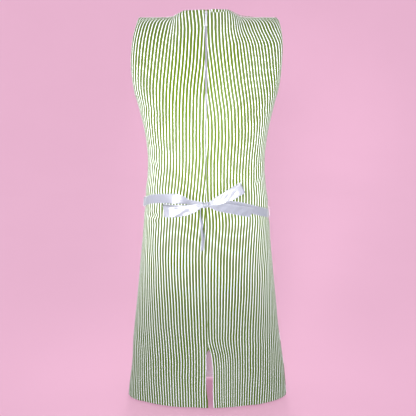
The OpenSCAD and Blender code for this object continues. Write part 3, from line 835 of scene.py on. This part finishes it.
def make_facings():
    for side in (LEFT, RIGHT):
        label = SIDE_NAMES[side]
        cloths = [inner(BACKS[side], BACK_ROWS, NECK_FACING_LOW, 2, slice(3, 44), FACING_IN)]
        if side == RIGHT:
            cloths.append(rolled_over(BACKS[side], slice(2, 37), ROLLED_W))
        make_sheet("neck_facing_back_" + label, cloths, FACING)
        columns = slice(0, 26) if side == LEFT else slice(2 * FRONT_MIDDLE - 25, None)
        halves = [inner(BACKS[side], BACK_ROWS, ARMHOLE_FACING_LOW, 2, slice(50, None), FACING_IN),
                  inner(front, FRONT_ROWS, ARMHOLE_FACING_LOW, 2, columns, FACING_IN)]
        make_sheet("armhole_facing_" + label, halves, FACING)
    columns = slice(FRONT_MIDDLE - 33, FRONT_MIDDLE + 34)
    cloth = inner(front, FRONT_ROWS, NECK_FACING_LOW, 2, columns, FACING_IN)
    make_sheet("neck_facing_front", [cloth], FACING)


def make_labels():
    for name, side, low, high, columns in (("neck_label", RIGHT, 1.73, 1.86, slice(8, 24)),
                                           ("care_label", LEFT, 0.655, 0.725, slice(79, 83))):
        cloth = inner(BACKS[side], BACK_ROWS, low, high, columns, LABEL_IN)
        make_sheet(name, [cloth], TAG)


make_linings()
make_facings()
make_labels()

# ---- Zip ----

TEETH_TOP, TEETH_LOW = NAPE - 0.002, NAPE - 0.396
TEETH_X, TEETH_IN = 0.0010, 0.0017
COIL_PITCH, COIL_STEPS = 0.00125, 10
COIL_HALF_W, COIL_HALF_DEEP, COIL_WIRE_R = 0.00095, 0.00052, 0.00022
TAPE_W, TAPE_IN, TAPE_START = 0.0115, 0.0022, 0.0002


def make_zip():
    for side in (LEFT, RIGHT):
        label = SIDE_NAMES[side]
        share = (ZIP_END - HEM) / (UNDERARM - HEM)
        rows = slice(row_at(BACK_ROWS, share), row_at(BACK_ROWS, 2) - 1)
        make_sheet("zip_tape_" + label, [tape_cloth(side, rows)], WEAVE)
        # The right coil is half a turn ahead, so that the two interlock
        turns = np.linspace(0, 1, int((TEETH_TOP - TEETH_LOW) / COIL_PITCH) * COIL_STEPS)
        angle = turns * len(turns) / COIL_STEPS * 2 * math.pi + (0 if side == LEFT else math.pi)
        z = mix(TEETH_LOW, TEETH_TOP, turns)
        line = np.stack([side * (TEETH_X + COIL_HALF_W * np.cos(angle)),
                         -back_at_centre(z) + TEETH_IN + COIL_HALF_DEEP * np.sin(angle), z], -1)
        piece = make_tube("zip_coil_" + label, line, COIL_WIRE_R, 6, COIL)
        dress_piece(piece, "zip_coil", "zip_teeth_" + label)
    for name in ("zip_top_stops", "zip_bottom_stop", "zip_slider", "zip_pull"):
        dress_metal(name)


def tape_cloth(side, rows):
    """The zip's tape: from the teeth to under the panel's edge."""
    made = BACKS[side].moved(-TAPE_IN).part(rows, slice(0, 5))
    start = made.p[:, :1].copy()
    start[..., 0] = side * TAPE_START
    share = np.linspace(0, 1, 5)[None, :, None]
    p = mix(start, made.p[:, 3:4], share)
    g = made.g.copy()
    g[..., 0] = share[..., 0] * TAPE_W
    return Cloth(p, made.n, g)


def dress_metal(name):
    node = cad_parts[name]
    node.data.materials.clear()
    node.data.materials.append(ENAMEL)
    bevel = node.modifiers.new("rounded edges", "BEVEL")
    bevel.width = 0.00022
    bevel.segments = 3
    bevel.limit_method = "ANGLE"
    bevel.angle_limit = math.radians(35)


make_zip()

# ---- Ribbon and bow ----

HALF_W = RIBBON_W / 2
SASH_HALF_W = 0.0114
GATHERED_HALF_W = 0.0042
STRIP_ROWS, TAIL_ROWS = 120, 70
CARRIER_SPARE, THREAD_R = 0.003, 0.00045


def spline(stops, count):
    """A smooth line of count points through stops, each a row of numbers."""
    stops = np.asarray(stops, float)
    run = np.concatenate([[0], np.linalg.norm(np.diff(stops[:, :3], axis=0), axis=1).cumsum()])
    slope = np.gradient(stops, run, axis=0)
    at = np.linspace(0, run[-1], count)
    k = np.clip(np.searchsorted(run, at, side="right") - 1, 0, len(stops) - 2)
    h = (run[k + 1] - run[k])[:, None]
    u = (at - run[k])[:, None] / h
    return hermite(u, stops[k], stops[k + 1], slope[k] * h, slope[k + 1] * h)


def over_back(x, z, lift):
    """Points over the back of the dress, lifted off the outline."""
    return np.stack([x, -(depth(BACK, x, z) + lift), z], -1)


def ribbon_piece(name, p, outward, slot_nodes, body="dress"):
    """A piece of ribbon from a grid of points, whose rows run along it and columns across it."""
    rows, columns = p.shape[:2]
    k = np.linspace(-1, 1, columns)[None, :].repeat(rows, 0)
    along = np.concatenate([[0], np.linalg.norm(np.diff(p[:, columns // 2], axis=0), axis=1).cumsum()])
    grain = np.stack([k * HALF_W, along[:, None].repeat(columns, 1), 0 * k], -1)
    piece = make_piece(name, p, grid_faces(p, outward), SATIN, [("stripe", k[..., None]), ("grain", grain)],
                       RIBBON_T)
    dress_piece(piece, "satin_ribbon", *slot_nodes, body=body)


def make_waistband():
    start = 0.006
    u = np.linspace(start, 1 - start, 420)[:, None]
    k = np.linspace(-1, 1, 13)[None, :]
    from_knot = np.minimum(u, 1 - u)
    gather = 1 - smooth((from_knot - start) / 0.07)
    half = mix(SASH_HALF_W, GATHERED_HALF_W, gather)
    z = ribbon_level(u) + k * half
    s = np.where(from_knot < 0.25, from_knot * 4, (0.5 - from_knot) * 4)
    side = np.where(u <= 0.5, RIGHT, LEFT)
    x = side * curve(BODY, z) * across(s)
    y = np.where(from_knot < 0.25, -depth(BACK, x, z), depth(FRONT, x, z))
    p = np.stack([x, y, z], -1)
    n = normals(p, (0, 0, 0))
    n = n * np.sign((n * unit(p * (1, 1, 0))).sum(-1, keepdims=True))
    lift = 0.0010 + 0.0005 * (1 - k**2) + 0.0009 * gather * np.cos(3.2 * np.pi * k + 0.6)
    lift = lift + 0.0003 * waves(u * 1.05, k * 0.012, 77, 0.06, 0.05) + 0.0012 * gather
    # It stands off at the left side, and tips up to the light between there and the knot
    tip = 0.0036 * bump((u - 0.922) / 0.020) + 0.0020 * bump((u - 0.990) / 0.010)
    lift = lift + 0.0030 * bump((u - 0.962) / 0.011) * (1 + k)
    lift = lift + 0.0045 * bump((u - 0.75) / 0.020) + 0.0034 * bump((u - 0.893) / 0.020)
    lift = lift + tip * (1 - k) + 0.0012 * bump((u - 0.12) / 0.08) * k
    ribbon_piece("ribbon_waistband_satin", p + n * lift[..., None], n, ["ribbon_waistband"])


def strip(name, stops, nodes, length, seed, slant=0.0, turned=False):
    """A stretch of ribbon over the back, through stops: x, z above the knot, lift, half width, tip up."""
    stops = np.asarray(stops, float)
    line = spline(stops, STRIP_ROWS)
    k = np.linspace(-1, 1, 13)[None, :]
    flat_way = unit(np.gradient(line[:, :2], axis=0))
    aside = np.stack([-flat_way[:, 1], flat_way[:, 0]], -1)
    if turned:
        # Where the ribbon folds back on itself, its width keeps the direction that it came with
        main = unit(stops[len(stops) // 2, :2] - stops[0, :2])
        fixed = np.array([-main[1], main[0]])
        back = (aside * fixed).sum(1, keepdims=True) < 0
        aside = np.where(back, -aside, aside)
        near_fold = bump((line[:, 0:1] - stops[:, 0][np.abs(stops[:, 0]).argmax()]) / 0.012)
        aside = unit(mix(aside, fixed[None], near_fold))
    half = line[:, 3:4]
    gather = smooth((SASH_HALF_W - half) / (SASH_HALF_W - GATHERED_HALF_W))
    end = smooth((np.linspace(0, 1, STRIP_ROWS)[:, None] - 0.8) / 0.2)
    x = line[:, 0:1] + aside[:, 0:1] * k * half + flat_way[:, 0:1] * k * slant * end
    z = KNOT + line[:, 1:2] + aside[:, 1:2] * k * half + flat_way[:, 1:2] * k * slant * end
    run = np.linspace(0, length, STRIP_ROWS)[:, None]
    lift = line[:, 2:3] + 0.0006 * gather * np.cos(3.3 * np.pi * k + seed)
    lift = lift - line[:, 4:5] * k * np.where(aside[:, 1:2] < 0, -1, 1)
    lift = lift + 0.0005 * waves(run, k * HALF_W, seed, 0.035, 0.030) * (1 - gather)
    p = over_back(x, z, lift)
    outward = np.zeros_like(p) + (0, -1, 0)
    ribbon_piece(name, p, outward, nodes)


def make_bow():
    strip("bow_loop_left_satin", [
        (-0.004, 0.0000, 0.0082, 0.0034, 0.0006), (-0.014, -0.0024, 0.0094, 0.0050, 0.0016),
        (-0.030, -0.0078, 0.0122, 0.0088, 0.0022), (-0.050, -0.0132, 0.0140, 0.0114, 0.0018),
        (-0.072, -0.0162, 0.0166, 0.0118, 0.0020), (-0.091, -0.0170, 0.0200, 0.0120, 0.0036),
        (-0.1000, -0.0172, 0.0196, 0.0120, 0.0036), (-0.1014, -0.0172, 0.0110, 0.0120, 0.0014),
        (-0.0998, -0.0171, 0.0030, 0.0120, 0), (-0.088, -0.0164, 0.0026, 0.0118, 0),
        (-0.065, -0.0150, 0.0030, 0.0112, 0), (-0.045, -0.0120, 0.0033, 0.0100, 0),
        (-0.026, -0.0066, 0.0038, 0.0070, 0), (-0.008, -0.0010, 0.0046, 0.0036, 0)],
        ["bow_loop_left"], 0.212, seed=3, turned=True)
    strip("bow_loop_right_satin", [
        (0.004, 0.0020, 0.0086, 0.0034, 0.0004), (0.014, 0.0062, 0.0098, 0.0056, 0.0014),
        (0.030, 0.0128, 0.0122, 0.0098, 0.0034), (0.050, 0.0218, 0.0144, 0.0116, 0.0040),
        (0.067, 0.0300, 0.0156, 0.0119, 0.0040), (0.079, 0.0364, 0.0160, 0.0120, 0.0040),
        (0.0835, 0.0392, 0.0158, 0.0120, 0.0034), (0.0845, 0.0399, 0.0090, 0.0120, 0.0014),
        (0.0830, 0.0388, 0.0040, 0.0119, 0), (0.072, 0.0328, 0.0036, 0.0117, 0),
        (0.052, 0.0224, 0.0040, 0.0110, 0), (0.034, 0.0140, 0.0046, 0.0090, 0),
        (0.018, 0.0068, 0.0052, 0.0060, 0), (0.006, 0.0022, 0.0056, 0.0036, 0)],
        ["bow_loop_right"], 0.189, seed=5, turned=True)
    strip("bow_tail_side_satin", [
        (0.004, -0.0016, 0.0072, 0.0036, -0.0004), (0.014, -0.0040, 0.0062, 0.0058, -0.0008),
        (0.027, -0.0070, 0.0056, 0.0094, -0.0014), (0.042, -0.0092, 0.0056, 0.0114, -0.0020),
        (0.060, -0.0126, 0.0062, 0.0119, -0.0024), (0.077, -0.0170, 0.0060, 0.0120, -0.0022),
        (0.093, -0.0218, 0.0050, 0.0120, -0.0018), (0.1095, -0.0272, 0.0054, 0.0120, -0.0010)],
        ["bow_tail_side"], 0.112, seed=8, slant=0.0022)


def make_hanging_tail():
    """The tail that hangs from the knot, nearly edge-on, its near edge rolled round to face the back."""
    low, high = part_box("bow_tail_hanging")
    line = spline([
        (-0.0128, -0.0968, high.z + 0.003, 0.0024), (-0.0133, -0.0985, high.z - 0.010, 0.0046),
        (-0.0114, -0.1035, high.z - 0.030, 0.0092), (-0.0090, -0.1085, high.z - 0.052, 0.0112),
        (-0.0078, -0.1140, high.z - 0.075, 0.0120), (-0.0090, -0.1165, low.z + 0.001, 0.0120)], TAIL_ROWS)
    columns = 21
    k = np.linspace(-1, 1, columns)[None, :]
    half = line[:, 3:4]
    step = half * 2 / (columns - 1)
    roll = math.radians(-14) + math.radians(78) * smooth((-0.10 - k) / 0.45)
    across_x = np.cumsum(np.sin(roll), 1) * step
    across_y = np.cumsum(np.cos(roll), 1) * step
    x = line[:, 0:1] + across_x - across_x[:, 4:5]
    y = line[:, 1:2] + across_y - across_y.mean(1, keepdims=True)
    end = smooth((np.linspace(0, 1, TAIL_ROWS)[:, None] - 0.85) / 0.15)
    z = line[:, 2:3] + 0.0055 * k * end
    p = np.stack([x, y, z + 0 * k], -1)
    outward = np.zeros_like(p) + (1, 0, 0)
    ribbon_piece("bow_tail_hanging_satin", p, outward, ["bow_tail_hanging"], body="tail")


def make_knot():
    """The ribbon's turn round the roots of the loops: a plump band with folds that run over it."""
    k = np.linspace(-1, 1, 41)[:, None]
    a = np.linspace(0, 2 * math.pi, 73)[None, :-1]
    plump = (1 - np.abs(k) ** 4) ** 0.4
    folds = 1 + 0.055 * np.cos(3.6 * np.pi * k + 0.9 * np.sin(a + 0.4)) + 0.02 * np.cos(9 * np.pi * k + a)
    around = plump * folds
    centre = over_back(np.array(-0.0007), np.array(KNOT + 0.0005), 0.0088)
    x = 0.0078 * k * (1 + 0.06 * np.sin(2 * a))
    y = -0.0060 * around * np.cos(a)
    z = 0.0066 * around * np.sin(a) + 0.16 * x
    p = centre + np.stack([x + 0 * a, y, z], -1)
    grain = np.stack([k * HALF_W + 0 * a, 0 * k + a * 0.009, 0 * k * a], -1)
    stripe = np.clip(k * 0.85, -1, 1)[..., None] + 0 * grain[..., :1]
    piece = make_piece("bow_knot_satin", p, grid_faces(p, p - centre, closed=True), SATIN,
                       [("stripe", stripe), ("grain", grain)])
    dress_piece(piece, "satin_ribbon", "bow_knot")


def make_carriers():
    """Thread loops at the side seams, over the ribbon."""
    for side in (LEFT, RIGHT):
        level = float(ribbon_level(0.25 if side == RIGHT else 0.75))
        stops = []
        for k, lift in ((1, -0.0006), (1, 0.0012), (0.93, 0.0025), (0, 0.0030), (-0.93, 0.0025),
                        (-1, 0.0012), (-1, -0.0006)):
            z = level + k * (HALF_W + CARRIER_SPARE)
            stops.append((side * (float(curve(BODY, z)) + lift), 0, z))
        name = "ribbon_carrier_" + SIDE_NAMES[side]
        piece = make_tube(name + "_thread", spline(stops, 80), THREAD_R, 8, THREAD)
        dress_piece(piece, "thread", name)


make_waistband()
make_bow()
make_hanging_tail()
make_knot()
make_carriers()

# ---- Camera, light and floor ----

CAMERA_PLACE, LOOK_DOWN, LENS = (0.004, -1.104, -0.0444), math.radians(20), 39.71
FLOOR_GAP, FLOOR_R, COVE_R, WALL_H = 0.005, 2.2, 1.4, 3.2
camera_data = bpy.data.cameras.new("camera")
camera_data.lens = LENS
camera_data.sensor_width = 36
camera = bpy.data.objects.new("camera", camera_data)
camera.location = CAMERA_PLACE
camera.rotation_euler = (math.pi / 2 - LOOK_DOWN, 0, 0)
scene.collection.objects.link(camera)
scene.camera = camera


def backdrop():
    """A floor that curves up into a round wall far behind every view."""
    floor = HEM - FLOOR_GAP
    profile = [(0.001, 0.0), (FLOOR_R, 0.0)]
    profile += [(FLOOR_R + COVE_R * math.sin(a), COVE_R * (1 - math.cos(a)))
                for a in np.linspace(0.1, math.pi / 2, 14)]
    profile += [(FLOOR_R + COVE_R, WALL_H)]
    turns = np.linspace(0, 2 * math.pi, 97)[:-1]
    p = np.array([[(r * math.cos(a), r * math.sin(a), floor + h) for a in turns] for r, h in profile])
    wall = make_piece("backdrop", p, grid_faces(p, closed=True), PAPER)
    # The dress is lit as if the paper stood far off: it takes no pink light from it
    wall.visible_diffuse = wall.visible_glossy = wall.visible_shadow = False


def softbox(name, place, target, size, power, spread, mirrored=True):
    """A rectangular lamp at a place, turned to a target."""
    light = bpy.data.lights.new(name, "AREA")
    light.spread = math.radians(spread)
    light.shape = "RECTANGLE"
    light.size, light.size_y = size
    light.energy = power
    lamp = bpy.data.objects.new(name, light)
    lamp.location = place
    way = np.subtract(target, place)
    tilt = math.atan2(math.hypot(way[0], way[1]), -way[2])
    lamp.rotation_euler = (tilt, 0, math.atan2(way[1], way[0]) - math.pi / 2)
    lamp.visible_camera = False
    lamp.visible_glossy = mirrored
    scene.collection.objects.link(lamp)


backdrop()
softbox("key", (-0.22, -1.35, 0.05), (0, -0.09, -0.285), (0.4, 0.4), 2.65, 36)
for side in (LEFT, RIGHT):
    softbox("side_" + SIDE_NAMES[side], (side * 1.2, 0.25, -0.25), (0, 0, -0.36), (0.5, 0.8), 1.6, 64,
            mirrored=False)
softbox("behind", (0.0, 1.6, 0.2), (0, 0, -0.20), (0.9, 0.9), 4, 50)
softbox("low", (-0.1, -1.4, -0.80), (0, -0.07, -0.95), (0.4, 0.3), 0.38, 32)
world = bpy.data.worlds.new("world")
world.use_nodes = True
sky = world.node_tree.nodes["Background"].inputs
sky["Color"].default_value = (0.96, 0.97, 1.0, 1)
sky["Strength"].default_value = 0.88
scene.world = world
scene.view_settings.view_transform = "Standard"
